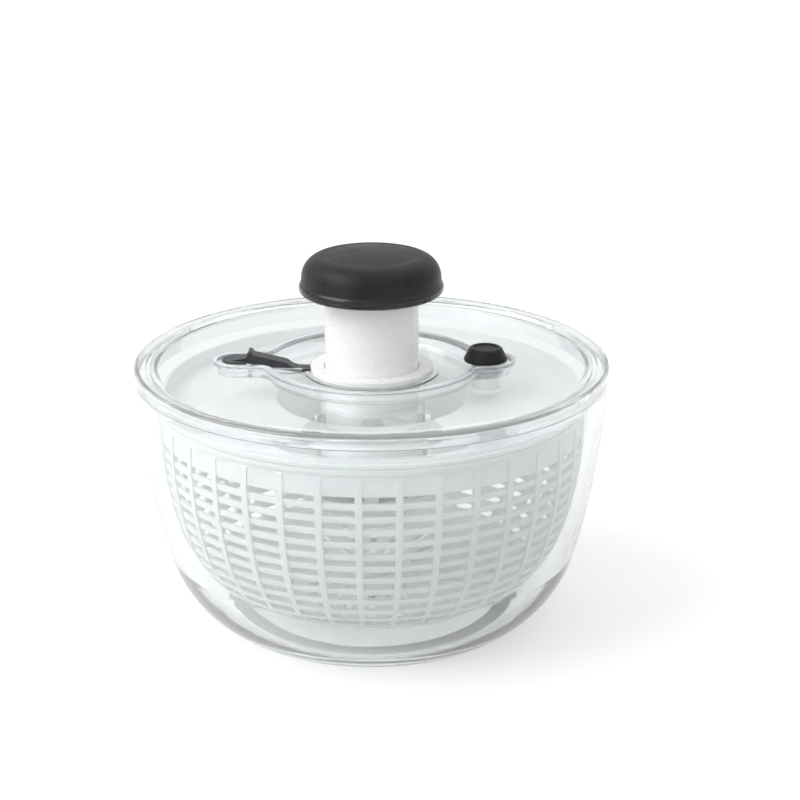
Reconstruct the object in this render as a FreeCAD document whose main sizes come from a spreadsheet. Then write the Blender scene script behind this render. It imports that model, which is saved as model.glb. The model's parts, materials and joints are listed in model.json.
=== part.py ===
import FreeCAD, Part
import math
import os
import re
import Sketcher

# Hand-pumped salad spinner: a clear bowl, a slotted basket on a centre pivot, and a clear
# lid that carries a push-down plunger, its twisted drive spindle, a brake and a lock lever.
# Millimetres. +Z up, origin at the centre of the foot, lock lever towards -X, brake towards +X.

SIZES = {
    # bowl
    "bowl_height": 145.0,
    "bowl_rim_radius": 135.0,
    "bowl_wall": 3.0,
    "bowl_waist_radius": 119.0,
    "bowl_waist_height": 42.0,
    "bowl_side_curve": 451.0,
    "bowl_base_curve": 69.0,
    "bowl_foot_radius": 89.0,
    "bowl_floor_top": 5.5,
    "foot_gap": 0.8,
    "pin_radius": 4.0,
    "pin_height": 8.0,
    # soft ring under the bowl
    "grip_inset": 3.0,
    "grip_width": 10.0,
    "grip_thickness": 3.0,
    # basket
    "basket_drop": 15.0,
    "basket_rim_gap": 9.8,
    "basket_rim_depth": 3.0,
    "basket_lip": 0.9,
    "basket_wall": 1.9,
    "basket_waist_gap": 4.0,
    "basket_waist_height": 58.0,
    "basket_side_curve": 194.6,
    "basket_base_curve": 71.5,
    "basket_floor_inset": 9.0,
    "basket_floor_height": 18.0,
    "basket_floor_wall": 2.4,
    "slot_rows": 12.0,
    "slot_columns": 36.0,
    "slot_drop": 15.0,
    "slot_pitch": 7.45,
    "slot_height": 4.0,
    "slot_turn": 2.5,
    "rib_angle": 1.8,
    "rib_height": 0.8,
    "floor_slot_count": 24.0,
    "floor_slot_width": 4.0,
    "floor_slot_start": 26.0,
    "floor_slot_end": 72.0,
    "boss_wall": 3.0,
    # pivot bush between bowl pin and basket
    "bush_radius": 8.0,
    "bush_height": 14.0,
    "bush_flange_radius": 12.0,
    "bush_flange_thickness": 2.0,
    # lid
    "lid_edge_height": 7.8,
    "lid_overhang": 0.4,
    "lid_wall": 3.0,
    "lid_plate_drop": 2.3,
    "lid_plate_thickness": 2.2,
    "lid_edge_width": 11.4,
    "lid_crest_slope": 2.5,
    "plug_gap": 3.6,
    "plug_wall": 2.6,
    "plug_depth": 6.5,
    "lid_edge_round": 3.0,
    # wing-shaped tray let into the lid
    "tray_radius": 60.0,
    "tray_corner": 9.0,
    "tray_wall": 1.8,
    "tray_depth": 6.0,
    "tray_floor": 2.0,
    "tray_lip_width": 2.4,
    "tray_lip_height": 0.9,
    "lock_reach": 16.0,
    "lock_end_radius": 12.5,
    "brake_reach": 0.2,
    "brake_end_radius": 14.6,
    # plunger
    "stroke": 42.0,
    "tube_radius": 26.7,
    "tube_wall": 2.4,
    "knob_gap": 1.5,
    "tube_engagement": 18.5,
    "tube_flange_width": 1.7,
    "tube_flange_height": 3.0,
    "tube_top_wall": 3.0,
    "inner_tube_radius": 14.3,
    "inner_tube_wall": 2.0,
    "nut_height": 10.0,
    "guide_rib_width": 4.0,
    # housing well that the plunger slides in
    "well_wall": 2.0,
    "well_gap": 3.5,
    "well_floor_wall": 3.0,
    # collar round the plunger
    "collar_width": 8.3,
    "collar_height": 4.0,
    # knob
    "knob_radius": 41.0,
    "knob_base_height": 9.0,
    "knob_dome_height": 15.0,
    "knob_crown_radius": 26.0,
    "knob_shoulder": 12.5,
    "knob_crown_rise": 2.2,
    "knob_bead": 3.4,
    "knob_screw_reach": 7.0,
    # twisted spindle
    "spindle_side": 9.0,
    "spindle_lead": 30.0,
    "spindle_spare": 6.0,
    "journal_radius": 4.5,
    "thrust_radius": 8.5,
    "thrust_height": 2.0,
    "washer_thickness": 0.5,
    # hub and clutch below the well
    "cap_boss_radius": 9.0,
    "hub_radius": 16.0,
    "hub_height": 12.0,
    "hub_flange_radius": 26.0,
    "hub_flange_drop": 3.6,
    "clutch_inner_radius": 12.6,
    "clutch_outer_radius": 15.6,
    "clutch_teeth": 12.0,
    "clutch_tooth_height": 1.4,
    "clutch_gap": 0.6,
    "clutch_plate": 3.0,
    "hub_cap_wall": 1.6,
    "ring_thickness": 1.0,
    # rotor disc
    "disc_thickness": 2.2,
    "disc_drop": 4.4,
    "disc_rim_height": 5.6,
    "skirt_gap": 1.1,
    "disc_opening_width": 12.3,
    "disc_opening_drop": 17.5,
    "disc_funnel_width": 11.5,
    "arm_count": 6.0,
    "arm_angle": 12.0,
    "dog_count": 6.0,
    "dog_width": 8.0,
    "dog_height": 2.2,
    # brake
    "brake_travel": 3.0,
    "brake_cap_radius": 12.3,
    "brake_cap_top_radius": 8.8,
    "brake_cap_height": 7.6,
    "brake_cap_wall": 1.5,
    "brake_stem_radius": 7.4,
    "brake_shoe_radius": 9.0,
    "brake_shoe_height": 2.5,
    "brake_clip_thickness": 1.0,
    # lock lever
    "lever_width": 9.0,
    "lever_thickness": 1.9,
    "paddle_width": 17.0,
    # shared
    "fit_gap": 0.05,
    "free_gap": 0.3,
    "return_wire": 0.8,
    "brake_wire": 0.35,
    "screw_radius": 1.2,
    "screw_head_radius": 2.4,
    "screw_head_height": 1.5,
    "screw_length": 7.0,
}

# Sizes that follow others, so that the pieces still fit when one of those is changed.
FITS = {
    # the basket hangs inside the bowl, and the foot ring is let into its foot
    "basket_rim_height": "bowl_height - basket_drop",
    "basket_rim_radius": "bowl_rim_radius - bowl_wall - basket_rim_gap",
    "basket_top_radius": "basket_rim_radius - basket_lip",
    "basket_waist_radius": "bowl_waist_radius - bowl_wall - basket_waist_gap",
    "basket_floor_radius": "bowl_foot_radius - basket_floor_inset",
    "slot_first_top": "basket_rim_height - slot_drop",
    "grip_outer_radius": "bowl_foot_radius - grip_inset",
    "grip_inner_radius": "grip_outer_radius - grip_width",
    # the lid sits on the bowl's rim
    "lid_crest_radius": "bowl_rim_radius + lid_overhang - lid_edge_width",
    "lid_plate_radius": "lid_crest_radius - lid_crest_slope",
    "plug_outer_radius": "bowl_rim_radius - bowl_wall - plug_gap",
    "plate_top": "bowl_height + lid_edge_height - lid_plate_drop",
    "plate_low": "plate_top - lid_plate_thickness",
    "tray_top": "plate_top - tray_depth",
    "tray_low": "tray_top - tray_floor",
    # each arm of the tray ends past the hollow corner where it meets the disc
    "lock_end_x": "tray_radius + lock_reach",
    "brake_end_x": "sqrt((tray_radius + tray_corner) ^ 2 - (brake_end_radius + tray_corner) ^ 2)"
                   " + brake_reach",
    # the plunger hangs in the lid and its stroke sets the well's depth
    "tube_top": "tray_top + collar_height + stroke + knob_gap",
    "tube_bottom": "tray_low - tube_engagement",
    "tube_flange_radius": "tube_radius + tube_flange_width",
    "collar_radius": "tube_radius + collar_width",
    "well_floor_top": "tube_bottom - stroke - well_gap",
    "well_bore": "tube_flange_radius + free_gap",
    "well_radius": "well_bore + well_wall",
    "spindle_top": "tube_bottom + nut_height + spindle_spare",
    # the rotor's disc rests on the basket's rim, open round the well
    "disc_opening_radius": "well_radius + disc_opening_width",
    "disc_opening_height": "basket_rim_height - disc_opening_drop",
    "disc_funnel_radius": "disc_opening_radius + disc_funnel_width",
}

doc = FreeCAD.newDocument("salad_spinner")
sheet = doc.addObject("Spreadsheet::Sheet", "Sizes")
for row, (alias, size) in enumerate(SIZES.items(), start=1):
    sheet.set("A%d" % row, alias)
    sheet.set("B%d" % row, str(size))
    sheet.setAlias("B%d" % row, alias)
doc.recompute()

ALIAS = re.compile(r"\b(%s)\b" % "|".join(SIZES))
FIT = re.compile(r"\b(%s)\b" % "|".join(FITS))
parts = []


def bound(expression):
    """The expression with its fits written out and each size name pointing at its cell."""
    text = str(expression)
    while FIT.search(text):
        text = FIT.sub(lambda found: "(%s)" % FITS[found.group()], text)
    return ALIAS.sub(r"Sizes.\1", text)


def number(expression):
    """The expression's present value."""
    value = sheet.evalExpression(bound(expression))
    return float(getattr(value, "Value", value))


def bind(item, prop, expression):
    item.setExpression(prop, bound(expression))


def keep(item, label):
    """Give a finished sub-part its name and list it for export."""
    item.Label = label
    parts.append(item)
    return item


# ---------------------------------------------------------------- sketches and turned bodies

def origin_plane(body, role):
    return next(f for f in body.Origin.OriginFeatures if f.Role == role)


def draw(sketch, corners):
    """Add a closed outline. Each corner is (x, y) or (x, y, radius): with a radius, an arc
    runs to the next corner, bulging to the right of that direction, or left if negative."""
    first = sketch.GeometryCount
    points = [FreeCAD.Vector(number(c[0]), number(c[1]), 0) for c in corners]
    total = len(corners)
    for i, corner in enumerate(corners):
        start, end = points[i], points[(i + 1) % total]
        if len(corner) == 3:
            radius = number(corner[2])
            chord = end - start
            half = chord.Length / 2
            sagitta = abs(radius) - math.sqrt(radius * radius - half * half)
            side = FreeCAD.Vector(chord.y, -chord.x, 0).normalize()
            if radius > 0:
                arc = Part.Arc(start, (start + end) / 2 + side * sagitta, end)
            else:
                arc = Part.Arc(end, (start + end) / 2 - side * sagitta, start)
            sketch.addGeometry(arc, False)
        else:
            sketch.addGeometry(Part.LineSegment(start, end), False)

    def ends(corner):
        """The sketcher's numbers for an edge's start and end: it stores arcs anticlockwise."""
        return (2, 1) if len(corner) == 3 and number(corner[2]) < 0 else (1, 2)

    for i, corner in enumerate(corners):
        here, there = first + i, first + (i + 1) % total
        sketch.addConstraint(Sketcher.Constraint(
            "Coincident", here, ends(corner)[1], there, ends(corners[(i + 1) % total])[0]))
    for i, corner in enumerate(corners):
        here, place = first + i, ends(corner)[0]
        for kind, value, axis in (("DistanceX", corner[0], -2), ("DistanceY", corner[1], -1)):
            if str(value) == "0":
                sketch.addConstraint(Sketcher.Constraint("PointOnObject", here, place, axis))
                continue
            at = sketch.addConstraint(Sketcher.Constraint(
                kind, -1, 1, here, place, number(value)))
            sketch.setExpression("Constraints[%d]" % at, bound(value))
        if len(corner) == 3:
            at = sketch.addConstraint(Sketcher.Constraint(
                "Radius", here, abs(number(corner[2]))))
            sketch.setExpression("Constraints[%d]" % at, bound(corner[2]).lstrip("-"))


def section(body, name, *outlines, turn=None):
    """A sketch on the body's XZ plane, so sketch x is radius and sketch y is height. `turn`
    swings that plane round the Z axis."""
    sketch = body.newObject("Sketcher::SketchObject", name)
    sketch.AttachmentSupport = [(origin_plane(body, "XZ_Plane"), "")]
    sketch.MapMode = "FlatFace"
    if turn:
        upright = FreeCAD.Rotation(FreeCAD.Vector(0, 1, 0), number(turn))
        sketch.AttachmentOffset = FreeCAD.Placement(FreeCAD.Vector(), upright)
        bind(sketch, "AttachmentOffset.Rotation.Angle", turn)
    for outline in outlines:
        draw(sketch, outline)
    return sketch


def turned(name, outline):
    """A body made by turning an outline once round the Z axis."""
    body = doc.addObject("PartDesign::Body", name)
    sketch = section(body, name + "_profile", outline)
    turn = body.newObject("PartDesign::Revolution", name + "_turn")
    turn.Profile = sketch
    turn.ReferenceAxis = (sketch, ["V_Axis"])
    turn.Angle = 360
    return body


def around(body, name, kind, sketch, angle, count):
    """Turn a sketch through a small angle about Z, then repeat it round the body."""
    feature = body.newObject("PartDesign::" + kind, name)
    feature.Profile = sketch
    feature.ReferenceAxis = (sketch, ["V_Axis"])
    feature.Midplane = True
    bind(feature, "Angle", angle)
    pattern = body.newObject("PartDesign::PolarPattern", name + "_ring")
    pattern.Originals = [feature]
    pattern.Axis = (sketch, ["V_Axis"])
    pattern.Angle = 360
    bind(pattern, "Occurrences", count)
    body.Tip = pattern
    return feature


def ring_outline(inner, outer, low, high):
    return [(inner, low), (outer, low), (outer, high), (inner, high)]


# ---------------------------------------------------------------- primitives and booleans

def place(item, x, y, z):
    for axis, value in zip("xyz", (x, y, z)):
        bind(item, "Placement.Base." + axis, value)


def cylinder(name, radius, low, height, x="0", y="0"):
    item = doc.addObject("Part::Cylinder", name)
    bind(item, "Radius", radius)
    bind(item, "Height", height)
    place(item, x, y, low)
    return item


def spoke(name, length, width, height, start, z, angle):
    """A box along a spoke at this angle, centred across it and starting at radius `start`."""
    item = doc.addObject("Part::Box", name)
    bind(item, "Length", length)
    bind(item, "Width", width)
    bind(item, "Height", height)
    turn = "%.6f" % angle
    item.Placement.Rotation = FreeCAD.Rotation(FreeCAD.Vector(0, 0, 1), angle)
    place(item, "(%s) * cos(%s) + (%s) / 2 * sin(%s)" % (start, turn, width, turn),
          "(%s) * sin(%s) - (%s) / 2 * cos(%s)" % (start, turn, width, turn), z)
    return item


def cut(name, base, tools):
    if len(tools) > 1:
        tool = fuse(name + "_tools", tools)
    else:
        tool = tools[0]
    item = doc.addObject("Part::Cut", name)
    item.Base = base
    item.Tool = tool
    return item


def fuse(name, pieces):
    item = doc.addObject("Part::MultiFuse", name)
    item.Shapes = pieces
    return item


def shaped(name, shape):
    """A feature whose shape is worked out in code, for outlines that no sketch above fits."""
    item = doc.addObject("Part::Feature", name)
    item.Shape = shape
    return item


Z = FreeCAD.Vector(0, 0, 1)
COIL_STEPS = 20
TWIST_STEPS = 72


def rod(radius, low, high, x=0.0, y=0.0):
    return Part.makeCylinder(radius, high - low, FreeCAD.Vector(x, y, low), Z)


def slab(x0, x1, y0, y1, z0, z1):
    return Part.makeBox(x1 - x0, y1 - y0, z1 - z0, FreeCAD.Vector(x0, y0, z0))


def faceted(rings, fuller=False):
    """A closed solid through rings of points with flat three-sided faces, which keeps long
    twisted shapes light. Where the sides twist, its faces dip inside them, or with `fuller`
    stand outside them."""
    faces = []
    for lower, upper in zip(rings, rings[1:]):
        for i in range(len(lower)):
            j = (i + 1) % len(lower)
            if fuller:
                faces += [(lower[i], lower[j], upper[i]), (lower[j], upper[j], upper[i])]
            else:
                faces += [(lower[i], lower[j], upper[j]), (lower[i], upper[j], upper[i])]
    faces += [tuple(rings[0]), tuple(rings[-1])]
    shell = Part.Shell([Part.Face(Part.makePolygon(list(f) + [f[0]])) for f in faces])
    solid = Part.Solid(shell)
    if solid.Volume < 0:
        solid.reverse()
    return solid


def coil(radius, wire, low, high, turns):
    """A compression spring with its wire's centre line `radius` from the axis."""
    rise = high - low - 2 * wire
    steps, sides = COIL_STEPS * turns, 6
    rings = []
    for step in range(steps + 1):
        turn = 2 * math.pi * step / COIL_STEPS
        out = FreeCAD.Vector(math.cos(turn), math.sin(turn), 0)
        middle = out * radius + Z * (low + wire + rise * step / steps)
        rings.append([middle + out * (wire * math.cos(2 * math.pi * k / sides))
                      + Z * (wire * math.sin(2 * math.pi * k / sides)) for k in range(sides)])
    return faceted(rings)


# ---------------------------------------------------------------- levels that several parts share

guide_bore = "(tube_radius + free_gap)"
stop_height = "(tube_bottom + tube_flange_height + free_gap)"
cap_low = "(well_floor_top - well_floor_wall)"
hub_top = "(%s - 1)" % cap_low
hub_low = "(%s - hub_height)" % hub_top
flange_top = "(%s - hub_flange_drop)" % hub_top
disc_seat = "(basket_rim_height + free_gap)"
disc_plate_top = "(%s + disc_thickness - disc_drop)" % disc_seat
disc_plate_low = "(%s - disc_thickness)" % disc_plate_top


# ---------------------------------------------------------------- bowl and grip ring

keep(turned("bowl", [
    ("0", "foot_gap"),
    ("grip_inner_radius", "foot_gap"),
    ("grip_inner_radius", "grip_thickness"),
    ("grip_outer_radius", "grip_thickness"),
    ("grip_outer_radius", "foot_gap"),
    ("bowl_foot_radius", "foot_gap", "bowl_base_curve"),
    ("bowl_waist_radius", "bowl_waist_height", "bowl_side_curve"),
    ("bowl_rim_radius", "bowl_height"),
    ("bowl_rim_radius - bowl_wall", "bowl_height", "-(bowl_side_curve - bowl_wall)"),
    ("bowl_waist_radius - bowl_wall", "bowl_waist_height + 0.8", "-(bowl_base_curve - bowl_wall)"),
    ("bowl_foot_radius - 1.5", "bowl_floor_top"),
    ("pin_radius", "bowl_floor_top"),
    ("pin_radius", "bowl_floor_top + pin_height"),
    ("0", "bowl_floor_top + pin_height"),
]), "bowl")

keep(turned("base_grip_ring", [
    ("grip_inner_radius", "0"),
    ("grip_outer_radius", "0"),
    ("grip_outer_radius", "grip_thickness"),
    ("grip_inner_radius", "grip_thickness"),
]), "base_grip_ring")


# ---------------------------------------------------------------- basket and its pivot

bush_low = "(bowl_floor_top + free_gap)"
bush_top = "(%s + bush_height)" % bush_low
boss_bore = "(bush_radius + fit_gap)"
boss_radius = "(%s + boss_wall)" % boss_bore
boss_low = "(%s + bush_flange_thickness + free_gap)" % bush_low

keep(turned("pivot_bush", [
    ("pin_radius + free_gap", bush_low),
    ("bush_flange_radius", bush_low),
    ("bush_flange_radius", "%s + bush_flange_thickness" % bush_low),
    ("bush_radius", "%s + bush_flange_thickness" % bush_low),
    ("bush_radius", bush_top),
    ("0", bush_top),
    ("0", "%s - 2" % bush_top),
    ("pin_radius + free_gap", "%s - 2" % bush_top),
]), "pivot_bush")


def make_basket():
    band_low = "basket_rim_height - basket_rim_depth"
    floor_top = "basket_floor_height + basket_floor_wall"
    body = turned("basket_moulding", [
        (boss_bore, boss_low),
        (boss_radius, boss_low),
        (boss_radius, "basket_floor_height"),
        ("basket_floor_radius", "basket_floor_height", "basket_base_curve"),
        ("basket_waist_radius", "basket_waist_height", "basket_side_curve"),
        ("basket_top_radius", band_low),
        ("basket_rim_radius", band_low),
        ("basket_rim_radius", "basket_rim_height"),
        ("basket_top_radius - basket_wall", "basket_rim_height"),
        ("basket_top_radius - basket_wall", band_low, "-(basket_side_curve - basket_wall)"),
        ("basket_waist_radius - basket_wall", "basket_waist_height + 0.4",
         "-(basket_base_curve - basket_wall)"),
        ("basket_floor_radius - 1", floor_top),
        (boss_radius, floor_top),
        (boss_radius, "%s + boss_wall" % bush_top),
        ("0", "%s + boss_wall" % bush_top),
        ("0", "%s + free_gap" % bush_top),
        (boss_bore, "%s + free_gap" % bush_top),
    ])
    ribs = section(body, "rib_profile", [
        ("basket_floor_radius + 4", "basket_floor_height + 5", "basket_base_curve"),
        ("basket_waist_radius + rib_height", "basket_waist_height", "basket_side_curve"),
        ("basket_top_radius + rib_height", band_low + " - 2"),
        ("basket_top_radius - 1", band_low, "-basket_side_curve"),
        ("basket_waist_radius - 1", "basket_waist_height", "-basket_base_curve"),
        ("basket_floor_radius + 2", "basket_floor_height + 5"),
    ], turn="slot_turn + 180 / slot_columns")
    around(body, "ribs", "Revolution", ribs, "rib_angle", "slot_columns")
    rows = []
    for row in range(int(number("slot_rows"))):
        top = "slot_first_top - %d * slot_pitch" % row
        rows.append(ring_outline("basket_floor_radius + 3", "basket_rim_radius + 3",
                                 "%s - slot_height" % top, top))
    windows = section(body, "slot_profile", *rows, turn="slot_turn")
    around(body, "slots", "Groove", windows, "360 / slot_columns - rib_angle", "slot_columns")
    return body


basket = make_basket()
floor_slots = [spoke("floor_slot_%d" % i, "floor_slot_end - floor_slot_start", "floor_slot_width",
                     "basket_floor_wall + 4",
                     "floor_slot_start", "basket_floor_height - 2",
                     360.0 / number("floor_slot_count") * i)
               for i in range(int(number("floor_slot_count")))]
notches = [spoke("rim_notch_%d" % i, "basket_wall + 0.7", "dog_width + 1", "dog_height + 1",
                 "basket_top_radius - basket_wall - 1", "basket_rim_height - dog_height",
                 360.0 / number("dog_count") * i)
           for i in range(int(number("dog_count")))]
keep(cut("basket_part", basket, floor_slots + notches), "basket")


# ---------------------------------------------------------------- lid shell and wing-shaped tray

def wing_wire(offset, height):
    """The tray's outline, grown by `offset`: a disc with a round-ended arm on each side,
    and a hollow corner of radius tray_corner where each arm meets the disc."""
    disc = number("tray_radius") + offset
    corner = number("tray_corner") - offset
    arms = ((1, number("brake_end_x"), number("brake_end_radius") + offset),
            (-1, number("lock_end_x"), number("lock_end_radius") + offset))
    edges = []

    def point(x, y):
        return FreeCAD.Vector(x, y, height)

    tips = []
    for side, end_x, arm in arms:
        reach = disc + corner
        corner_y = arm + corner
        corner_x = math.sqrt(reach * reach - corner_y * corner_y)
        on_disc = (corner_x * disc / reach, corner_y * disc / reach)
        slant = math.atan2(corner_y, corner_x)
        half_way = (math.cos(slant), math.sin(slant) + 1)
        size = math.hypot(*half_way)
        mid = (corner_x - corner * half_way[0] / size, corner_y - corner * half_way[1] / size)
        tips.append(on_disc)
        for up in (1, -1):
            edges.append(Part.Arc(point(side * on_disc[0], up * on_disc[1]),
                                  point(side * mid[0], up * mid[1]),
                                  point(side * corner_x, up * arm)).toShape())
            edges.append(Part.LineSegment(point(side * corner_x, up * arm),
                                          point(side * end_x, up * arm)).toShape())
        edges.append(Part.Arc(point(side * end_x, arm), point(side * (end_x + arm), 0),
                              point(side * end_x, -arm)).toShape())
    for up in (1, -1):
        edges.append(Part.Arc(point(tips[0][0], up * tips[0][1]), point(0, up * disc),
                              point(-tips[1][0], up * tips[1][1])).toShape())
    return Part.Wire(Part.__sortEdges__(edges))


def wing(offset, low, high):
    face = Part.Face(wing_wire(offset, low))
    return face.extrude(FreeCAD.Vector(0, 0, high - low))


lid_blank = turned("lid_blank", [
    ("0", "plate_low"),
    ("plug_outer_radius - plug_wall", "plate_low"),
    ("plug_outer_radius - plug_wall", "bowl_height - plug_depth"),
    ("plug_outer_radius", "bowl_height - plug_depth"),
    ("plug_outer_radius", "bowl_height + lid_edge_height - lid_wall"),
    ("bowl_rim_radius + lid_overhang - lid_wall", "bowl_height + lid_edge_height - lid_wall"),
    ("bowl_rim_radius + lid_overhang - lid_wall", "bowl_height"),
    ("bowl_rim_radius + lid_overhang", "bowl_height"),
    ("bowl_rim_radius + lid_overhang", "bowl_height + lid_edge_height - lid_edge_round",
     "lid_edge_round"),
    ("bowl_rim_radius + lid_overhang - lid_edge_round", "bowl_height + lid_edge_height"),
    ("lid_crest_radius", "bowl_height + lid_edge_height"),
    ("lid_plate_radius", "plate_top"),
    ("0", "plate_top"),
])
tray_hole = shaped("tray_hole", wing(0.2, number("plate_low") - 5, number("plate_top") + 5))
keep(cut("lid_part", lid_blank, [tray_hole]), "lid_shell")


def housing_shape():
    """Tray, plunger guide and well in one moulding."""
    top, low = number("plate_top"), number("tray_low")
    floor = number("tray_top")
    lip = number("tray_lip_height")
    wall = number("tray_wall")
    shape = wing(0, low, top).fuse(wing(number("tray_lip_width"), top, top + lip))
    shape = shape.cut(wing(-wall, floor, top + lip + 1))
    well_low = number("well_floor_top")
    shape = shape.fuse(rod(number("well_radius"), well_low, low + 0.5))
    for x, y in cap_screw_places():
        shape = shape.fuse(rod(number("screw_head_radius"), well_low,
                               well_low + number("screw_length") + 3, x, y))
    shape = shape.fuse(rod(number("collar_radius") + 3.5, floor, floor + 1.2)
                       .cut(rod(number("collar_radius + free_gap"), floor - 1, floor + 3)))
    # the lock lever's tongue crosses the ring round the collar
    tongue = number("lever_width") / 2 + number("free_gap")
    shape = shape.cut(slab(-number("collar_radius") - 5, -number("collar_radius") + 1,
                           -tongue, tongue, floor, floor + 3))
    shape = shape.cut(rod(number(guide_bore), well_low - 1, floor + 1))
    shape = shape.cut(rod(number("well_bore"), well_low - 1, number(stop_height)))
    # two guide ribs that keep the plunger from turning
    rib = number("guide_rib_width")
    for side in (1, -1):
        inner = number(guide_bore)
        outer = number("well_bore") + 0.5
        shape = shape.fuse(slab(min(side * inner, side * outer), max(side * inner, side * outer),
                                -rib / 2, rib / 2, well_low, number(stop_height) + 0.5))
    # seat for the brake button's stem, a finger opening under the lock lever's paddle
    shape = shape.cut(rod(number("brake_stem_radius + free_gap"), low - 1, floor + 1,
                          number("brake_end_x")))
    shape = shape.cut(rod(number("lock_end_radius") - 4.5, low - 1, floor + 1,
                          -number("lock_end_x")))
    # two rails beside the lock lever
    gap = number("lever_width") / 2 + number("free_gap")
    for side in (1, -1):
        rail = sorted((side * gap, side * (gap + 1.6)))
        shape = shape.fuse(slab(-number("tray_radius") + 2, -number("collar_radius") - 4.5,
                                rail[0], rail[1], floor - 0.2, floor + 3))
    # pilot holes in the well's wall for the cap's screws
    for x, y in cap_screw_places():
        shape = shape.cut(rod(number("screw_radius - 0.2"), well_low - 1,
                              well_low + number("screw_length"), x, y))
    return shape


def cap_screw_places():
    """On three bosses outside the well."""
    reach = number("well_radius") + number("screw_head_radius") - 0.6
    return [(reach * math.cos(math.radians(90 + 120 * i)),
             reach * math.sin(math.radians(90 + 120 * i))) for i in range(3)]


keep(shaped("housing_part", housing_shape()), "mechanism_housing")


def collar_shape():
    low = number("tray_top")
    bore, outer = number("tube_radius + free_gap"), number("collar_radius")
    high = low + number("collar_height")
    shape = rod(outer, low, high).cut(rod(bore, low - 1, high + 1))
    rim = [e for e in shape.Edges if e.BoundBox.ZMin > high - 0.01]
    shape = shape.makeFillet(1.0, rim)
    half = number("lever_width") / 2 + number("free_gap")
    tongue = slab(-outer - 1, -bore + 1, -half, half, low - 1,
                  low + number("lever_thickness + 2 * free_gap"))
    return shape.cut(tongue)


keep(shaped("collar_part", collar_shape()), "collar_ring")


# ---------------------------------------------------------------- plunger

tube_inner = "(tube_radius - tube_wall)"
inner_bore = "(inner_tube_radius - inner_tube_wall)"


def tube_shape():
    """Outer tube, top wall and inner tube in one moulding."""
    low, high = number("tube_bottom"), number("tube_top")
    outer, wall = number("tube_radius"), number("tube_wall")
    under = high - number("tube_top_wall")
    shape = rod(outer, low, high).cut(rod(outer - wall, low - 1, under))
    shape = shape.fuse(rod(number("inner_tube_radius"), low, under + 0.5))
    shape = shape.cut(rod(number(inner_bore), low - 1, under))
    flange = rod(number("tube_flange_radius"), low, low + number("tube_flange_height"))
    flange = flange.cut(rod(outer - 0.5, low - 1, high))
    shape = shape.fuse(flange)
    notch = number("guide_rib_width") / 2 + 0.4
    reach = number("tube_flange_radius") + 2
    for side in (1, -1):
        ends = sorted((side * number("tube_radius"), side * reach))
        shape = shape.cut(slab(ends[0], ends[1], -notch, notch,
                               low - 1, low + number("tube_flange_height") + 1))
    # windows that the lock lever's tongue enters with the plunger up and with it down
    half = number("lever_width") / 2 + 0.8
    sill = number("tray_top") - number("free_gap")
    head = sill + number("lever_thickness") + 4 * number("free_gap")
    for rise in (0.0, number("stroke")):
        shape = shape.cut(slab(-outer - 1, -outer + wall + 0.5, -half, half,
                               sill + rise, head + rise))
    # screw holes in the top wall
    for x, y in knob_screw_places():
        shape = shape.cut(rod(number("screw_radius"), under - 1, high + 1, x, y))
    return shape


def knob_screw_places():
    """Inside the inner tube, clear of the spindle's top."""
    reach = number("knob_screw_reach")
    return [(reach * math.cos(math.radians(90 + 120 * i)),
             reach * math.sin(math.radians(90 + 120 * i))) for i in range(3)]


keep(shaped("tube_part", tube_shape()), "plunger_tube")

knob_low = "(tube_top - 1)"
keep(cut("knob_base_part", turned("knob_base_blank", [
    ("0", "tube_top"),
    ("tube_radius", "tube_top"),
    ("tube_radius", knob_low),
    ("knob_radius - knob_bead", knob_low, "knob_bead"),
    ("knob_radius", "%s + knob_bead" % knob_low, "knob_bead"),
    ("knob_radius - 1.2", "%s + 2 * knob_bead - 0.4" % knob_low),
    ("knob_radius - 5", "%s + knob_base_height" % knob_low),
    ("0", "%s + knob_base_height" % knob_low),
]), [cylinder("knob_screw_hole_%d" % i, "screw_radius", "tube_top - 1",
              "screw_length - tube_top_wall + 1",
              "%.4f" % x, "%.4f" % y) for i, (x, y) in enumerate(knob_screw_places())]),
     "knob_base")

knob_face = "(%s + knob_base_height)" % knob_low
# radius of the ball whose cap has this rise over this radius, so the dome is level at its middle
crown_sphere = "(knob_crown_radius ^ 2 / knob_crown_rise / 2 + knob_crown_rise / 2)"
keep(turned("knob_cap", [
    ("0", knob_face),
    ("knob_radius - 5", knob_face),
    ("knob_radius - 1.2", "%s + 2 * knob_bead - 0.4" % knob_low),
    ("knob_radius - 1.5", "%s + 3 * knob_bead" % knob_low, "knob_shoulder"),
    ("knob_crown_radius", "%s + knob_dome_height - knob_crown_rise" % knob_face, crown_sphere),
    ("0", "%s + knob_dome_height" % knob_face),
]), "knob_cap")


# ---------------------------------------------------------------- spindle and drive nut

def twisted_bar(side, low, high, fuller=False):
    """A square bar with a constant twist: one turn in spindle_lead, righthanded, level with
    the axes at the plunger nut's lower end."""
    lead = number("spindle_lead")
    start = number("tube_bottom")
    reach = side / math.sqrt(2)
    steps = math.ceil((high - low) / (lead / TWIST_STEPS))
    rings = []
    for step in range(steps + 1):
        z = low + (high - low) * step / steps
        turn = 2 * math.pi * (z - start) / lead
        rings.append([FreeCAD.Vector(reach * math.cos(turn + math.pi / 2 * k),
                                     reach * math.sin(turn + math.pi / 2 * k), z)
                      for k in range(4)])
    return faceted(rings, fuller)


thrust_low = "(well_floor_top + washer_thickness)"
boss_low_end = "(%s - ring_thickness - 1.6)" % hub_low
driver_top = "(%s - clutch_gap)" % hub_low
driver_low = "(%s - clutch_plate)" % boss_low_end


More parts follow.
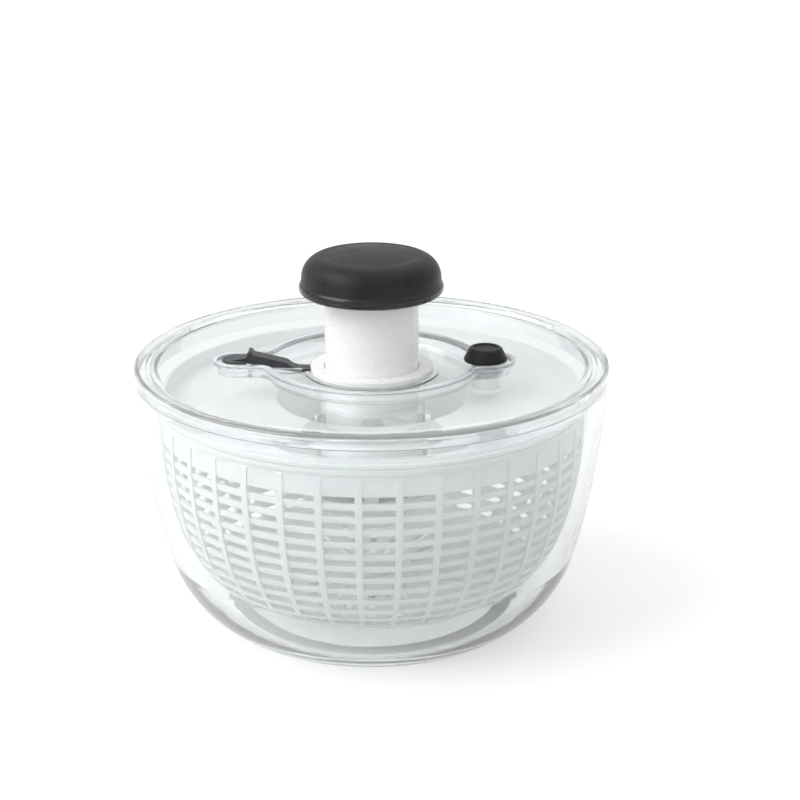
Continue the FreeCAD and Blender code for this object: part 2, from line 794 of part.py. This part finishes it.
def spindle_shape():
    low, thrust_top = number(driver_low), number(thrust_low) + number("thrust_height")
    side = number("spindle_side")
    bar = twisted_bar(side, thrust_top - 0.2, number("spindle_top"))
    shape = bar.fuse(rod(number("thrust_radius"), number(thrust_low), thrust_top))
    shape = shape.fuse(rod(number("journal_radius"), low, number(thrust_low) + 0.5))
    return shape.cut(rod(number("screw_radius"), low - 1, low + number("screw_length")))


keep(shaped("spindle_part", spindle_shape()), "twisted_spindle")


def nut_shape():
    low = number("tube_bottom")
    high = low + number("nut_height")
    shape = rod(number(inner_bore), low, high)
    bore = twisted_bar(number("spindle_side") + 2 * number("free_gap"),
                       low - 1.25, high + 1.25, fuller=True)
    return shape.cut(bore)


keep(shaped("nut_part", nut_shape()), "drive_nut")
keep(shaped("return_spring_part", coil(
    (number("inner_tube_radius") + number(tube_inner)) / 2, number("return_wire"),
    number("well_floor_top"), number("tube_top") - number("tube_top_wall"), 9)), "return_spring")


# ---------------------------------------------------------------- well cap, hub and clutch

def screw_shape(x, y, seat, length, upward=1):
    """A pan-head screw whose head sits on the far side of `seat`."""
    head = number("screw_head_height")
    low = (seat - head, seat) if upward > 0 else (seat, seat + head)
    shape = rod(number("screw_head_radius"), low[0], low[1], x, y)
    shank = (seat, seat + length) if upward > 0 else (seat - length, seat)
    shape = shape.fuse(rod(number("screw_radius") - 0.2, shank[0], shank[1], x, y))
    face = low[0] if upward > 0 else low[1]
    arm, width, depth = 1.4, 0.35, 0.8
    for long_x, long_y in ((arm, width), (width, arm)):
        shape = shape.cut(slab(x - long_x, x + long_x, y - long_y, y + long_y,
                               face - depth, face + depth))
    return shape


def cap_shape():
    low, high = number(cap_low), number("well_floor_top")
    shape = rod(number("well_radius"), low, high)
    for x, y in cap_screw_places():
        shape = shape.fuse(rod(number("screw_head_radius"), low, high, x, y))
    boss = number("cap_boss_radius")
    shape = shape.fuse(rod(boss, number(boss_low_end), low + 0.5))
    shape = shape.cut(rod(number("journal_radius") + number("fit_gap"),
                          number(boss_low_end) - 1, high + 1))
    for x, y in cap_screw_places():
        shape = shape.cut(rod(number("screw_radius"), low - 1, high + 1, x, y))
    groove_low = number(hub_low) - number("ring_thickness") - 0.4
    groove = rod(boss + 1, groove_low, groove_low + number("ring_thickness"))
    return shape.cut(groove.cut(rod(boss - 1.2, groove_low - 1, groove_low + 3)))


keep(shaped("cap_part", cap_shape()), "well_cap")
cap_screws = [screw_shape(x, y, number(cap_low), number("screw_length"))
              for x, y in cap_screw_places()]
keep(shaped("cap_screw_set", Part.makeCompound(cap_screws)), "cap_screws")
knob_screws = [screw_shape(x, y, number("tube_top - tube_top_wall"), number("screw_length"))
               for x, y in knob_screw_places()]
keep(shaped("knob_screw_set", Part.makeCompound(knob_screws)), "knob_screws")

keep(turned("thrust_washer", ring_outline(
    "journal_radius + free_gap", "thrust_radius", "well_floor_top", thrust_low)), "thrust_washer")


def retaining_shape():
    low = number(hub_low) - number("ring_thickness") - 0.4
    high = low + number("ring_thickness")
    inner = number("cap_boss_radius") - 1.2
    outer = number("cap_boss_radius") + 2.6
    shape = rod(outer, low, high).cut(rod(inner, low - 1, high + 1))
    return shape.cut(slab(0, outer + 1, -2.5, 2.5, low - 1, high + 1))


keep(shaped("retaining_part", retaining_shape()), "retaining_ring")


def crown(low, height, flip):
    """A ring of ratchet teeth: a steep face and a long ramp on each, pointing up or down."""
    count = int(number("clutch_teeth"))
    inner, outer = number("clutch_inner_radius"), number("clutch_outer_radius")
    teeth = []
    for i in range(count):
        start = 360.0 / count * i
        steps = [start, start + 360.0 / count * 0.9]
        apex = low + (-height if flip else height)
        corners = []
        for angle, z in ((steps[0], low), (steps[1], low), (steps[1], apex)):
            for radius in (inner, outer):
                corners.append(FreeCAD.Vector(radius * math.cos(math.radians(angle)),
                                              radius * math.sin(math.radians(angle)), z))
        a0, b0, a1, b1, a2, b2 = corners
        faces = [(a0, b0, b1, a1), (a1, b1, b2, a2), (a0, b0, b2), (a0, b2, a2), (a0, a1, a2),
                 (b0, b1, b2)]
        shell = []
        for face in faces:
            shell.append(Part.Face(Part.makePolygon(list(face) + [face[0]])))
        solid = Part.Solid(Part.Shell(shell))
        if solid.Volume < 0:
            solid.reverse()
        teeth.append(solid)
    return teeth


def hub_shape():
    low, high = number(hub_low), number(hub_top)
    tooth = number("clutch_tooth_height")
    shape = rod(number("hub_radius"), low + tooth, high)
    shape = shape.fuse(rod(number("clutch_inner_radius"), low, low + tooth + 0.1))
    flange_high = number(flange_top)
    shape = shape.fuse(rod(number("hub_flange_radius"), flange_high - number("disc_thickness"),
                           flange_high))
    for point_down in crown(low + tooth, tooth, True):
        shape = shape.fuse(point_down)
    return shape.cut(rod(number("cap_boss_radius") + number("fit_gap"), low - 1, high + 1))


keep(shaped("hub_part", hub_shape()), "rotor_hub")


def driver_shape():
    low, plate_high = number(driver_low), number(boss_low_end) - 0.3
    top = number(driver_top)
    base = top - number("clutch_tooth_height")
    shape = rod(number("clutch_outer_radius"), low, base)
    shape = shape.cut(rod(number("clutch_inner_radius"), plate_high, base + 1))
    for tooth in crown(base, number("clutch_tooth_height"), False):
        shape = shape.fuse(tooth)
    return shape.cut(rod(number("journal_radius"), low - 1, base + 1))


keep(shaped("driver_part", driver_shape()), "clutch_driver")


# ---------------------------------------------------------------- hub cap and rotor disc

cap_floor = "(%s - screw_head_height - 1)" % driver_low
keep(turned("hub_cap", [
    ("0", "%s - hub_cap_wall" % cap_floor),
    ("hub_radius - 3", "%s - hub_cap_wall" % cap_floor, "hub_cap_wall + 3"),
    ("hub_radius + hub_cap_wall", "%s + 3" % cap_floor),
    ("hub_radius + hub_cap_wall", "%s - disc_thickness" % flange_top),
    ("hub_radius", "%s - disc_thickness" % flange_top),
    ("hub_radius", "%s + 1.5" % cap_floor),
    ("hub_radius - 1.5", cap_floor),
    ("0", cap_floor),
]), "hub_cap")
keep(shaped("driver_screw_part", screw_shape(0, 0, number(driver_low), number("screw_length"))),
     "driver_screw")

flange_outer = "(basket_rim_radius - 0.8)"
upstand_outer = "(basket_rim_radius - 2.6)"
# the skirt hangs clear of the basket's wall, which leans in below its rim
skirt_low = "(%s - disc_rim_height)" % disc_plate_low
basket_lean = ("(basket_top_radius - basket_waist_radius)"
               " / (basket_rim_height - basket_rim_depth - basket_waist_height)")
skirt_outer = ("(basket_top_radius - basket_wall - skirt_gap - %s"
               " * (basket_rim_height - basket_rim_depth - %s))" % (basket_lean, skirt_low))
skirt_inner = "(%s - disc_thickness)" % skirt_outer
arm_foot = "(well_radius + screw_head_radius * 2 + 2.6)"


def make_disc():
    seat_top = "%s + disc_thickness" % disc_seat
    ring_top = "%s + disc_thickness" % flange_top
    body = turned("rotor_blank", [
        ("hub_radius + fit_gap", flange_top),
        ("%s + disc_thickness" % arm_foot, flange_top),
        ("disc_opening_radius + disc_thickness", "disc_opening_height - 1"),
        ("disc_funnel_radius + 1", disc_plate_low),
        (skirt_inner, disc_plate_low),
        (skirt_inner, skirt_low),
        (skirt_outer, skirt_low),
        (skirt_outer, disc_seat),
        (flange_outer, disc_seat),
        (flange_outer, seat_top),
        (upstand_outer, seat_top),
        (upstand_outer, "%s + disc_rim_height" % disc_seat),
        (skirt_outer, "%s + disc_rim_height" % disc_seat),
        (skirt_outer, seat_top),
        (skirt_inner, disc_plate_top),
        ("disc_funnel_radius", disc_plate_top),
        ("disc_opening_radius", "disc_opening_height"),
        (arm_foot, ring_top),
        ("hub_radius + fit_gap", ring_top),
    ])
    windows = section(body, "window_profile", ring_outline(
        "%s - 6" % arm_foot, "disc_opening_radius + 6", "%s + 4" % ring_top,
        "disc_opening_height - 3"))
    around(body, "windows", "Groove", windows, "360 / arm_count - arm_angle", "arm_count")
    return body


dogs = [spoke("dog_%d" % i, "basket_wall - 0.5", "dog_width", "dog_height + 0.5",
              "basket_top_radius - basket_wall - 0.5", "%s - dog_height" % disc_seat,
              360.0 / number("dog_count") * i)
        for i in range(int(number("dog_count")))]
keep(fuse("rotor_part", [make_disc()] + dogs), "rotor_disc")


# ---------------------------------------------------------------- brake

brake_low = "(plate_top + 0.5)"
brake_top = "(%s + brake_cap_height)" % brake_low
brake_ceiling = "(%s - brake_cap_wall - 0.8)" % brake_top
shoe_low = "(%s + brake_travel + 0.1)" % disc_plate_top
stem_low = "(%s + brake_shoe_height)" % shoe_low
clip_low = "(tray_low - free_gap - brake_clip_thickness)"


def at_brake(label, outline):
    """A body turned about the brake button's own axis."""
    body = turned(label + "_turned", outline)
    bind(body, "Placement.Base.x", "brake_end_x")
    return keep(body, label)


at_brake("brake_button", [
    ("brake_cap_radius - brake_cap_wall", brake_low),
    ("brake_cap_radius", brake_low),
    ("brake_cap_radius", "%s + 1.4" % brake_low),
    ("brake_cap_top_radius + 1", "%s - 1.4" % brake_top, "2"),
    ("brake_cap_top_radius - 0.6", brake_top),
    ("brake_cap_top_radius - 1.6", brake_top),
    ("brake_cap_top_radius - 2.2", "%s - 0.8" % brake_top),
    ("0", "%s - 0.8" % brake_top),
    ("0", brake_ceiling),
    ("brake_cap_top_radius", brake_ceiling),
    ("brake_cap_radius - brake_cap_wall", "%s + 1.4" % brake_low),
])
at_brake("brake_stem", [
    ("0", stem_low),
    ("brake_stem_radius", stem_low),
    ("brake_stem_radius", clip_low),
    ("brake_stem_radius - 1.2", clip_low),
    ("brake_stem_radius - 1.2", "%s + brake_clip_thickness" % clip_low),
    ("brake_stem_radius", "%s + brake_clip_thickness" % clip_low),
    ("brake_stem_radius", brake_ceiling),
    ("0", brake_ceiling),
])
at_brake("brake_shoe", [
    ("0", shoe_low),
    ("brake_shoe_radius - 0.8", shoe_low),
    ("brake_shoe_radius", "%s + 0.8" % shoe_low),
    ("brake_shoe_radius", stem_low),
    ("0", stem_low),
])


def clip_shape():
    low = number(clip_low)
    high = low + number("brake_clip_thickness")
    x = number("brake_end_x")
    inner = number("brake_stem_radius") - 1.2
    outer = number("brake_stem_radius") + 2.4
    shape = rod(outer, low, high, x).cut(rod(inner, low - 1, high + 1, x))
    return shape.cut(slab(x, x + outer + 1, -2.2, 2.2, low - 1, high + 1))


keep(shaped("clip_part", clip_shape()), "brake_clip")
brake_coil = coil(number("brake_stem_radius") + 0.7, number("brake_wire"),
                  number("tray_top"), number(brake_ceiling), 5)
brake_coil.translate(FreeCAD.Vector(number("brake_end_x"), 0, 0))
keep(shaped("brake_spring_part", brake_coil), "brake_spring")


# ---------------------------------------------------------------- lock lever

def lever_shape():
    """Seen from the side: a paddle, an upright thumb tab, a sloping bar and a low tongue that
    slides through the collar into the plunger's window."""
    floor = number("tray_top") + number("free_gap")
    thick = number("lever_thickness")
    tip = -number("tube_radius") - 4 * number("free_gap")
    heel = -number("collar_radius") - 7
    end = -number("lock_end_x")
    plate = number("plate_top")
    half = number("lever_width") / 2
    outline = [
        (tip, floor), (tip, floor + thick), (heel, floor + thick),
        (heel - 3.5, floor + thick + 1.5), (heel - 6.5, floor + thick + 3.8),
        (end + 9, plate + 4.4), (end + 7.5, plate + 6.3), (end + 6, plate + 6.3),
        (end + 4.5, plate + 2.6), (end - 4, plate + 1.2), (end - 4, plate - 0.7),
        (end + 4, plate - 0.4), (heel - 2, floor + 0.6), (heel, floor),
    ]
    points = [FreeCAD.Vector(x, -half, z) for x, z in outline]
    face = Part.Face(Part.makePolygon(points + [points[0]]))
    shape = face.extrude(FreeCAD.Vector(0, 2 * half, 0))
    paddle = rod(number("paddle_width") / 2, plate - 0.7, plate + 1.2, end - 1)
    paddle = paddle.common(slab(end - 12, end + 4.5, -20, 20, plate - 2, plate + 3))
    return shape.fuse(paddle)


keep(shaped("lever_part", lever_shape()), "lock_lever")


# ---------------------------------------------------------------- check and export

def check(item):
    if item.Shape.isNull() or not item.Shape.isValid() or not item.Shape.Solids:
        raise RuntimeError("bad shape: " + item.Label)
    if min(solid.Volume for solid in item.Shape.Solids) <= 0:
        raise RuntimeError("solid inside out: " + item.Label)


doc.recompute()
for item in doc.Objects:
    if "Invalid" in item.State or "Error" in item.State:
        raise RuntimeError("failed: " + item.Name)
os.makedirs("parts", exist_ok=True)
for item in parts:
    check(item)
    item.Shape.exportStep("parts/%s.step" % item.Label)
    print("%-18s %9.0f mm3" % (item.Label, item.Shape.Volume))
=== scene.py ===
import bpy
import json
import math
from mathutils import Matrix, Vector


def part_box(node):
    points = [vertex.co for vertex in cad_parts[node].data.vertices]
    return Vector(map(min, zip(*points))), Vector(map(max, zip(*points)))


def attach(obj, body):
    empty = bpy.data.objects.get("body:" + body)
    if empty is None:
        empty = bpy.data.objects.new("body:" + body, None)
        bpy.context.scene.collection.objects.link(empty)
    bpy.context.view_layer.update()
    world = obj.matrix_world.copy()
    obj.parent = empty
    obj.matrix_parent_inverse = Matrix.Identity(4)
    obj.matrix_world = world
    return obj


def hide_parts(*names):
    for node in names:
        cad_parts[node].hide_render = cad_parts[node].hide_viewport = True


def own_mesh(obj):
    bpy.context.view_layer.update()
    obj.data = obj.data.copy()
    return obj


# A hand-pumped salad spinner on a white studio table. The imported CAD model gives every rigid
# part; this file gives them their edges and materials, winds the two springs in fine wire,
# and sets up the floor, the light and the camera.

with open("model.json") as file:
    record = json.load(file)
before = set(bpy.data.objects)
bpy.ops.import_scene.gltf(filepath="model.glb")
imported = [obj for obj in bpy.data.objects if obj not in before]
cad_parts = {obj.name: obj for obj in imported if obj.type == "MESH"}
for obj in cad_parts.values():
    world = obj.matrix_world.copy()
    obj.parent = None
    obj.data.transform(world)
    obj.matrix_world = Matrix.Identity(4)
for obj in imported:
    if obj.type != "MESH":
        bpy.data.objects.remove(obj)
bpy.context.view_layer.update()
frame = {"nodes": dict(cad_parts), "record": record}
nodes = frame["nodes"]

MM = 0.001


# ---------------------------------------------------------------- material building blocks

def new_material(name):
    """A material with a Principled shader, and a short way to add nodes to it."""
    made = bpy.data.materials.new(name)
    made.use_nodes = True
    tree = made.node_tree
    return made, tree, tree.nodes["Principled BSDF"]


def set_values(shader, **values):
    for name, value in values.items():
        shader.inputs[name.replace("_", " ")].default_value = value


def noise(tree, size, detail=3.0, stretch=(1.0, 1.0, 1.0)):
    """Noise whose blobs are about `size` metres across, fixed to the object."""
    place = tree.nodes.new("ShaderNodeTexCoord")
    scaled = tree.nodes.new("ShaderNodeMapping")
    scaled.inputs["Scale"].default_value = [1.0 / (size * s) for s in stretch]
    texture = tree.nodes.new("ShaderNodeTexNoise")
    texture.inputs["Scale"].default_value = 1.0
    texture.inputs["Detail"].default_value = detail
    texture.inputs["Roughness"].default_value = 0.55
    tree.links.new(place.outputs["Object"], scaled.inputs["Vector"])
    tree.links.new(scaled.outputs["Vector"], texture.inputs["Vector"])
    return texture.outputs["Fac"]


def spread(tree, source, low, high):
    """Map a noise value's usual span onto a range."""
    node = tree.nodes.new("ShaderNodeMapRange")
    node.inputs["From Min"].default_value = 0.3
    node.inputs["From Max"].default_value = 0.7
    node.inputs["To Min"].default_value = low
    node.inputs["To Max"].default_value = high
    tree.links.new(source, node.inputs["Value"])
    return node.outputs["Result"]


def tint(tree, source, first, second):
    """A colour that drifts between two shades with a noise value."""
    ramp = tree.nodes.new("ShaderNodeValToRGB")
    ramp.color_ramp.elements[0].position = 0.3
    ramp.color_ramp.elements[0].color = (*first, 1.0)
    ramp.color_ramp.elements[1].position = 0.7
    ramp.color_ramp.elements[1].color = (*second, 1.0)
    tree.links.new(source, ramp.inputs["Fac"])
    return ramp.outputs["Color"]


def bump(tree, shader, *layers):
    """Stack height layers, each (source, depth in metres, strength), on the shader's normal."""
    last = None
    for source, depth, strength in layers:
        node = tree.nodes.new("ShaderNodeBump")
        node.inputs["Distance"].default_value = depth
        node.inputs["Strength"].default_value = strength
        tree.links.new(source, node.inputs["Height"])
        if last:
            tree.links.new(last, node.inputs["Normal"])
        last = node.outputs["Normal"]
    tree.links.new(last, shader.inputs["Normal"])


def let_light_in(tree, shader, share):
    """Let lamps shine through a see-through material, instead of throwing a black shadow."""
    path = tree.nodes.new("ShaderNodeLightPath")
    open_air = tree.nodes.new("ShaderNodeBsdfTransparent")
    open_air.inputs["Color"].default_value = (*share, 1.0)
    mix = tree.nodes.new("ShaderNodeMixShader")
    tree.links.new(path.outputs["Is Shadow Ray"], mix.inputs["Fac"])
    tree.links.new(shader.outputs["BSDF"], mix.inputs[1])
    tree.links.new(open_air.outputs["BSDF"], mix.inputs[2])
    tree.links.new(mix.outputs["Shader"], tree.nodes["Material Output"].inputs["Surface"])


# ---------------------------------------------------------------- materials

def clear_plastic():
    """Thick polished styrene: clear, a little cool, with a slight haze and the faint waviness
    of a moulding."""
    made, tree, shader = new_material("clear_plastic_look")
    set_values(shader, IOR=1.49, Transmission_Weight=0.91)
    flow = noise(tree, 0.045, 2.0, (1.0, 1.0, 2.5))
    scuff = noise(tree, 0.004, 4.0)
    tree.links.new(tint(tree, flow, (0.965, 0.98, 0.985), (0.985, 0.992, 0.994)),
                   shader.inputs["Base Color"])
    tree.links.new(spread(tree, scuff, 0.0, 0.035), shader.inputs["Roughness"])
    bump(tree, shader, (flow, 0.00012, 0.25))
    let_light_in(tree, shader, (0.93, 0.94, 0.945))
    return made


def milky_plastic():
    """Natural polypropylene: lets light through, but with a pale bluish haze."""
    made, tree, shader = new_material("basket_white_look")
    set_values(shader, IOR=1.49, Transmission_Weight=0.34, Specular_IOR_Level=0.5)
    flow = noise(tree, 0.03, 3.0, (1.0, 1.0, 0.6))
    grain = noise(tree, 0.0012, 3.0)
    tree.links.new(tint(tree, flow, (0.925, 0.955, 0.95), (0.955, 0.975, 0.97)),
                   shader.inputs["Base Color"])
    tree.links.new(spread(tree, grain, 0.14, 0.24), shader.inputs["Roughness"])
    bump(tree, shader, (grain, 0.00002, 0.2), (flow, 0.0001, 0.15))
    let_light_in(tree, shader, (0.35, 0.385, 0.375))
    return made


def gloss_white():
    """White ABS with a moulded gloss, warmer in the thick parts."""
    made, tree, shader = new_material("gloss_white_look")
    set_values(shader, IOR=1.5, Coat_Weight=0.25, Coat_Roughness=0.08,
               Subsurface_Weight=0.12, Subsurface_Radius=(0.003, 0.0028, 0.0024),
               Subsurface_Scale=0.6)
    flow = noise(tree, 0.02, 3.0)
    grain = noise(tree, 0.002, 3.0)
    tree.links.new(tint(tree, flow, (0.915, 0.915, 0.905), (0.93, 0.93, 0.92)),
                   shader.inputs["Base Color"])
    tree.links.new(spread(tree, grain, 0.24, 0.33), shader.inputs["Roughness"])
    bump(tree, shader, (grain, 0.000015, 0.2))
    return made


def acetal():
    """Machined-looking white bearing plastic with fine turning marks."""
    made, tree, shader = new_material("acetal_look")
    set_values(shader, IOR=1.48)
    marks = noise(tree, 0.004, 2.0, (1.0, 1.0, 0.06))
    tree.links.new(tint(tree, marks, (0.82, 0.82, 0.79), (0.88, 0.88, 0.86)),
                   shader.inputs["Base Color"])
    tree.links.new(spread(tree, marks, 0.34, 0.46), shader.inputs["Roughness"])
    bump(tree, shader, (marks, 0.00003, 0.3))
    return made


def pale_rubber():
    """Soft, slightly dusty elastomer for the foot ring and the brake's shoe."""
    made, tree, shader = new_material("pale_rubber_look")
    set_values(shader, IOR=1.45, Sheen_Weight=0.25, Sheen_Roughness=0.6)
    dust = noise(tree, 0.012, 4.0)
    pores = noise(tree, 0.0006, 2.0)
    tree.links.new(tint(tree, dust, (0.78, 0.8, 0.79), (0.86, 0.88, 0.87)),
                   shader.inputs["Base Color"])
    tree.links.new(spread(tree, dust, 0.55, 0.72), shader.inputs["Roughness"])
    bump(tree, shader, (pores, 0.00004, 0.35))
    return made


def black_plastic():
    """Polished black rim under the knob, with faint rub marks."""
    made, tree, shader = new_material("black_plastic_look")
    set_values(shader, IOR=1.5, Specular_IOR_Level=0.35, Coat_Weight=0.15, Coat_Roughness=0.12)
    rub = noise(tree, 0.006, 5.0, (1.0, 1.0, 0.4))
    tree.links.new(tint(tree, rub, (0.008, 0.008, 0.009), (0.016, 0.016, 0.018)),
                   shader.inputs["Base Color"])
    tree.links.new(spread(tree, rub, 0.16, 0.3), shader.inputs["Roughness"])
    bump(tree, shader, (rub, 0.00002, 0.15))
    return made


def black_rubber():
    """Soft-touch black grip with a very fine grain."""
    made, tree, shader = new_material("black_rubber_look")
    set_values(shader, IOR=1.47, Specular_IOR_Level=0.22, Sheen_Weight=0.02,
               Sheen_Roughness=0.4)
    worn = noise(tree, 0.015, 4.0)
    grain = noise(tree, 0.0005, 2.0)
    tree.links.new(tint(tree, worn, (0.014, 0.014, 0.015), (0.024, 0.024, 0.026)),
                   shader.inputs["Base Color"])
    tree.links.new(spread(tree, worn, 0.36, 0.5), shader.inputs["Roughness"])
    bump(tree, shader, (grain, 0.00003, 0.3))
    return made


def grey_plastic():
    """Dark grey nylon with a spark-eroded surface."""
    made, tree, shader = new_material("grey_plastic_look")
    set_values(shader, IOR=1.52)
    worn = noise(tree, 0.01, 4.0)
    grain = noise(tree, 0.0004, 2.0)
    tree.links.new(tint(tree, worn, (0.032, 0.034, 0.038), (0.05, 0.052, 0.057)),
                   shader.inputs["Base Color"])
    tree.links.new(spread(tree, worn, 0.34, 0.46), shader.inputs["Roughness"])
    bump(tree, shader, (grain, 0.00004, 0.35))
    return made


def steel():
    """Drawn spring steel and zinc-plated screws: bright, with fine streaks."""
    made, tree, shader = new_material("steel_look")
    set_values(shader, Metallic=1.0)
    streaks = noise(tree, 0.003, 4.0, (1.0, 1.0, 0.08))
    tree.links.new(tint(tree, streaks, (0.62, 0.63, 0.65), (0.78, 0.79, 0.8)),
                   shader.inputs["Base Color"])
    tree.links.new(spread(tree, streaks, 0.18, 0.34), shader.inputs["Roughness"])
    bump(tree, shader, (streaks, 0.00002, 0.25))
    return made


LOOKS = {
    "clear_plastic": clear_plastic(),
    "basket_white": milky_plastic(),
    "gloss_white": gloss_white(),
    "acetal": acetal(),
    "pale_rubber": pale_rubber(),
    "black_plastic": black_plastic(),
    "black_rubber": black_rubber(),
    "grey_plastic": grey_plastic(),
    "steel": steel(),
}


def dress(node_name, slot):
    item = nodes[node_name]
    for place in item.material_slots:
        place.material = LOOKS[slot]


for part in frame["record"]["subparts"]:
    dress(part["node"], part["material_slot"])


# ---------------------------------------------------------------- softened moulded edges

def soften(node_name, width, segments=2, angle=35.0):
    """Round a CAD part's sharp edges by a small moulding radius."""
    item = nodes[node_name]
    weld = item.modifiers.new("join", "WELD")
    weld.merge_threshold = 0.00001
    round_edges = item.modifiers.new("edge_round", "BEVEL")
    round_edges.width = width
    round_edges.segments = segments
    round_edges.limit_method = "ANGLE"
    round_edges.angle_limit = math.radians(angle)
    round_edges.use_clamp_overlap = True
    round_edges.harden_normals = False


# the bowl's edges stay as modelled: rounded ones throw dark wedges under the lid
EDGE_ROUNDS_MM = {
    "lid_shell": 0.6,
    "mechanism_housing": 0.45,
    "rotor_disc": 0.35,
    "well_cap": 0.3,
    "plunger_tube": 0.3,
    "knob_base": 0.3,
    "brake_button": 0.35,
    "brake_stem": 0.4,
    "lock_lever": 0.35,
    "base_grip_ring": 0.3,
    "rotor_hub": 0.25,
    "basket": 0.25,
}
for node_name, width in EDGE_ROUNDS_MM.items():
    soften(node_name, width * MM)


# ---------------------------------------------------------------- springs

def coil(name, node_name, wire, turns):
    """A compression spring in the space of its CAD solid, with a closed turn at each end."""
    low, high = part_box(node_name)
    middle = (low + high) / 2
    radius = (high.x - low.x) / 2 - wire
    bottom = low.z + wire
    top = high.z - wire
    sides = 12
    per_turn = 40
    steps = turns * per_turn
    closed = 2.1 * wire
    open_pitch = (top - bottom - 2 * closed) / (turns - 2)
    points = []
    faces = []
    for step in range(steps + 1):
        turned = step / per_turn
        rise = (closed * min(turned, 1.0) + open_pitch * min(max(turned - 1.0, 0.0), turns - 2)
                + closed * max(turned - turns + 1.0, 0.0))
        around = 2 * math.pi * turned
        for side in range(sides):
            out = wire * math.cos(2 * math.pi * side / sides)
            up = wire * math.sin(2 * math.pi * side / sides)
            points.append((middle.x + (radius + out) * math.cos(around),
                           middle.y + (radius + out) * math.sin(around), bottom + rise + up))
    for step in range(steps):
        for side in range(sides):
            here = step * sides + side
            there = step * sides + (side + 1) % sides
            faces.append((here, there, there + sides, here + sides))
    faces.append(tuple(reversed(range(sides))))
    faces.append(tuple(steps * sides + side for side in range(sides)))
    mesh = bpy.data.meshes.new(name)
    mesh.from_pydata(points, [], faces)
    for face in mesh.polygons:
        face.use_smooth = len(face.vertices) == 4
    mesh.materials.append(LOOKS["steel"])
    item = bpy.data.objects.new(name, mesh)
    bpy.context.scene.collection.objects.link(item)
    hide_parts(node_name)
    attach(item, "lid")
    return item, low, high


def spring_on(name, node_name, wire, turns):
    """A coil wound in the place of its CAD spring, with a mesh of its own."""
    item, low, high = coil(name, node_name, wire, turns)
    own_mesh(item)


spring_on("return_spring_wire", "return_spring", 0.8 * MM, 11)
spring_on("brake_spring_wire", "brake_spring", 0.35 * MM, 7)


# ---------------------------------------------------------------- floor, light and camera

def floor():
    """A wide plain white table, lit a little from below."""
    half = 8.0
    mesh = bpy.data.meshes.new("table")
    mesh.from_pydata([(-half, -half, 0), (half, -half, 0), (half, half, 0), (-half, half, 0)],
                     [], [(0, 1, 2, 3)])
    item = bpy.data.objects.new("table", mesh)
    bpy.context.scene.collection.objects.link(item)
    made, tree, shader = new_material("table_white")
    set_values(shader, Roughness=0.6, Specular_IOR_Level=0.25, Emission_Strength=0.45,
               Emission_Color=(1, 1, 1, 1))
    fleck = noise(tree, 0.3, 2.0)
    tree.links.new(tint(tree, fleck, (0.595, 0.595, 0.595), (0.605, 0.605, 0.605)),
                   shader.inputs["Base Color"])
    mesh.materials.append(made)


def studio():
    """White surroundings that darken a little towards the horizon, so clear edges show."""
    world = bpy.data.worlds.new("studio")
    bpy.context.scene.world = world
    world.use_nodes = True
    tree = world.node_tree
    place = tree.nodes.new("ShaderNodeTexCoord")
    split = tree.nodes.new("ShaderNodeSeparateXYZ")
    ramp = tree.nodes.new("ShaderNodeValToRGB")
    tree.links.new(place.outputs["Generated"], split.inputs["Vector"])
    tree.links.new(split.outputs["Z"], ramp.inputs["Fac"])
    stops = ramp.color_ramp.elements
    stops[0].position = 0.0
    stops[0].color = (0.84, 0.85, 0.87, 1)
    stops[1].position = 0.55
    stops[1].color = (1, 1, 1, 1)
    tree.links.new(ramp.outputs["Color"], tree.nodes["Background"].inputs["Color"])
    tree.nodes["Background"].inputs["Strength"].default_value = 0.78


def lamp(name, kind, energy, place, aim, size=1.0, size_y=None):
    data = bpy.data.lights.new(name, kind)
    data.energy = energy
    if kind == "SUN":
        data.angle = math.radians(size)
    else:
        data.shape = "RECTANGLE"
        data.size = size
        data.size_y = size_y or size
    item = bpy.data.objects.new(name, data)
    bpy.context.scene.collection.objects.link(item)
    item.location = place
    way = item.location.copy()
    for i in range(3):
        way[i] = aim[i] - place[i]
    item.rotation_euler = way.to_track_quat("-Z", "Y").to_euler()
    return item


floor()
studio()
lamp("key_soft", "SUN", 1.3, (-1.2, -0.25, 1.35), (0, 0, 0.1), size=42)
lamp("left_window", "AREA", 3.0, (-1.0, -0.7, 0.9), (0, 0, 0.1), 0.5, 1.0)
lamp("top_panel", "AREA", 2.0, (0.2, 0.6, 1.3), (0, 0, 0.1), 1.2, 0.6)

camera_data = bpy.data.cameras.new("camera")
camera_data.lens = 85.99
camera_data.sensor_width = 36.0
camera = bpy.data.objects.new("camera", camera_data)
bpy.context.scene.collection.objects.link(camera)
camera.location = (0.01617, -1.04145, 0.48073)
camera.rotation_euler = (math.radians(71.2225), 0, 0)
bpy.context.scene.camera = camera
bpy.context.scene.view_settings.view_transform = "Standard"
# enough depth for light to cross the lid, disc, basket and bowl, and come back out
bpy.context.scene.cycles.max_bounces = 32
bpy.context.scene.cycles.diffuse_bounces = 6
bpy.context.scene.cycles.transmission_bounces = 28
bpy.context.scene.cycles.transparent_max_bounces = 40
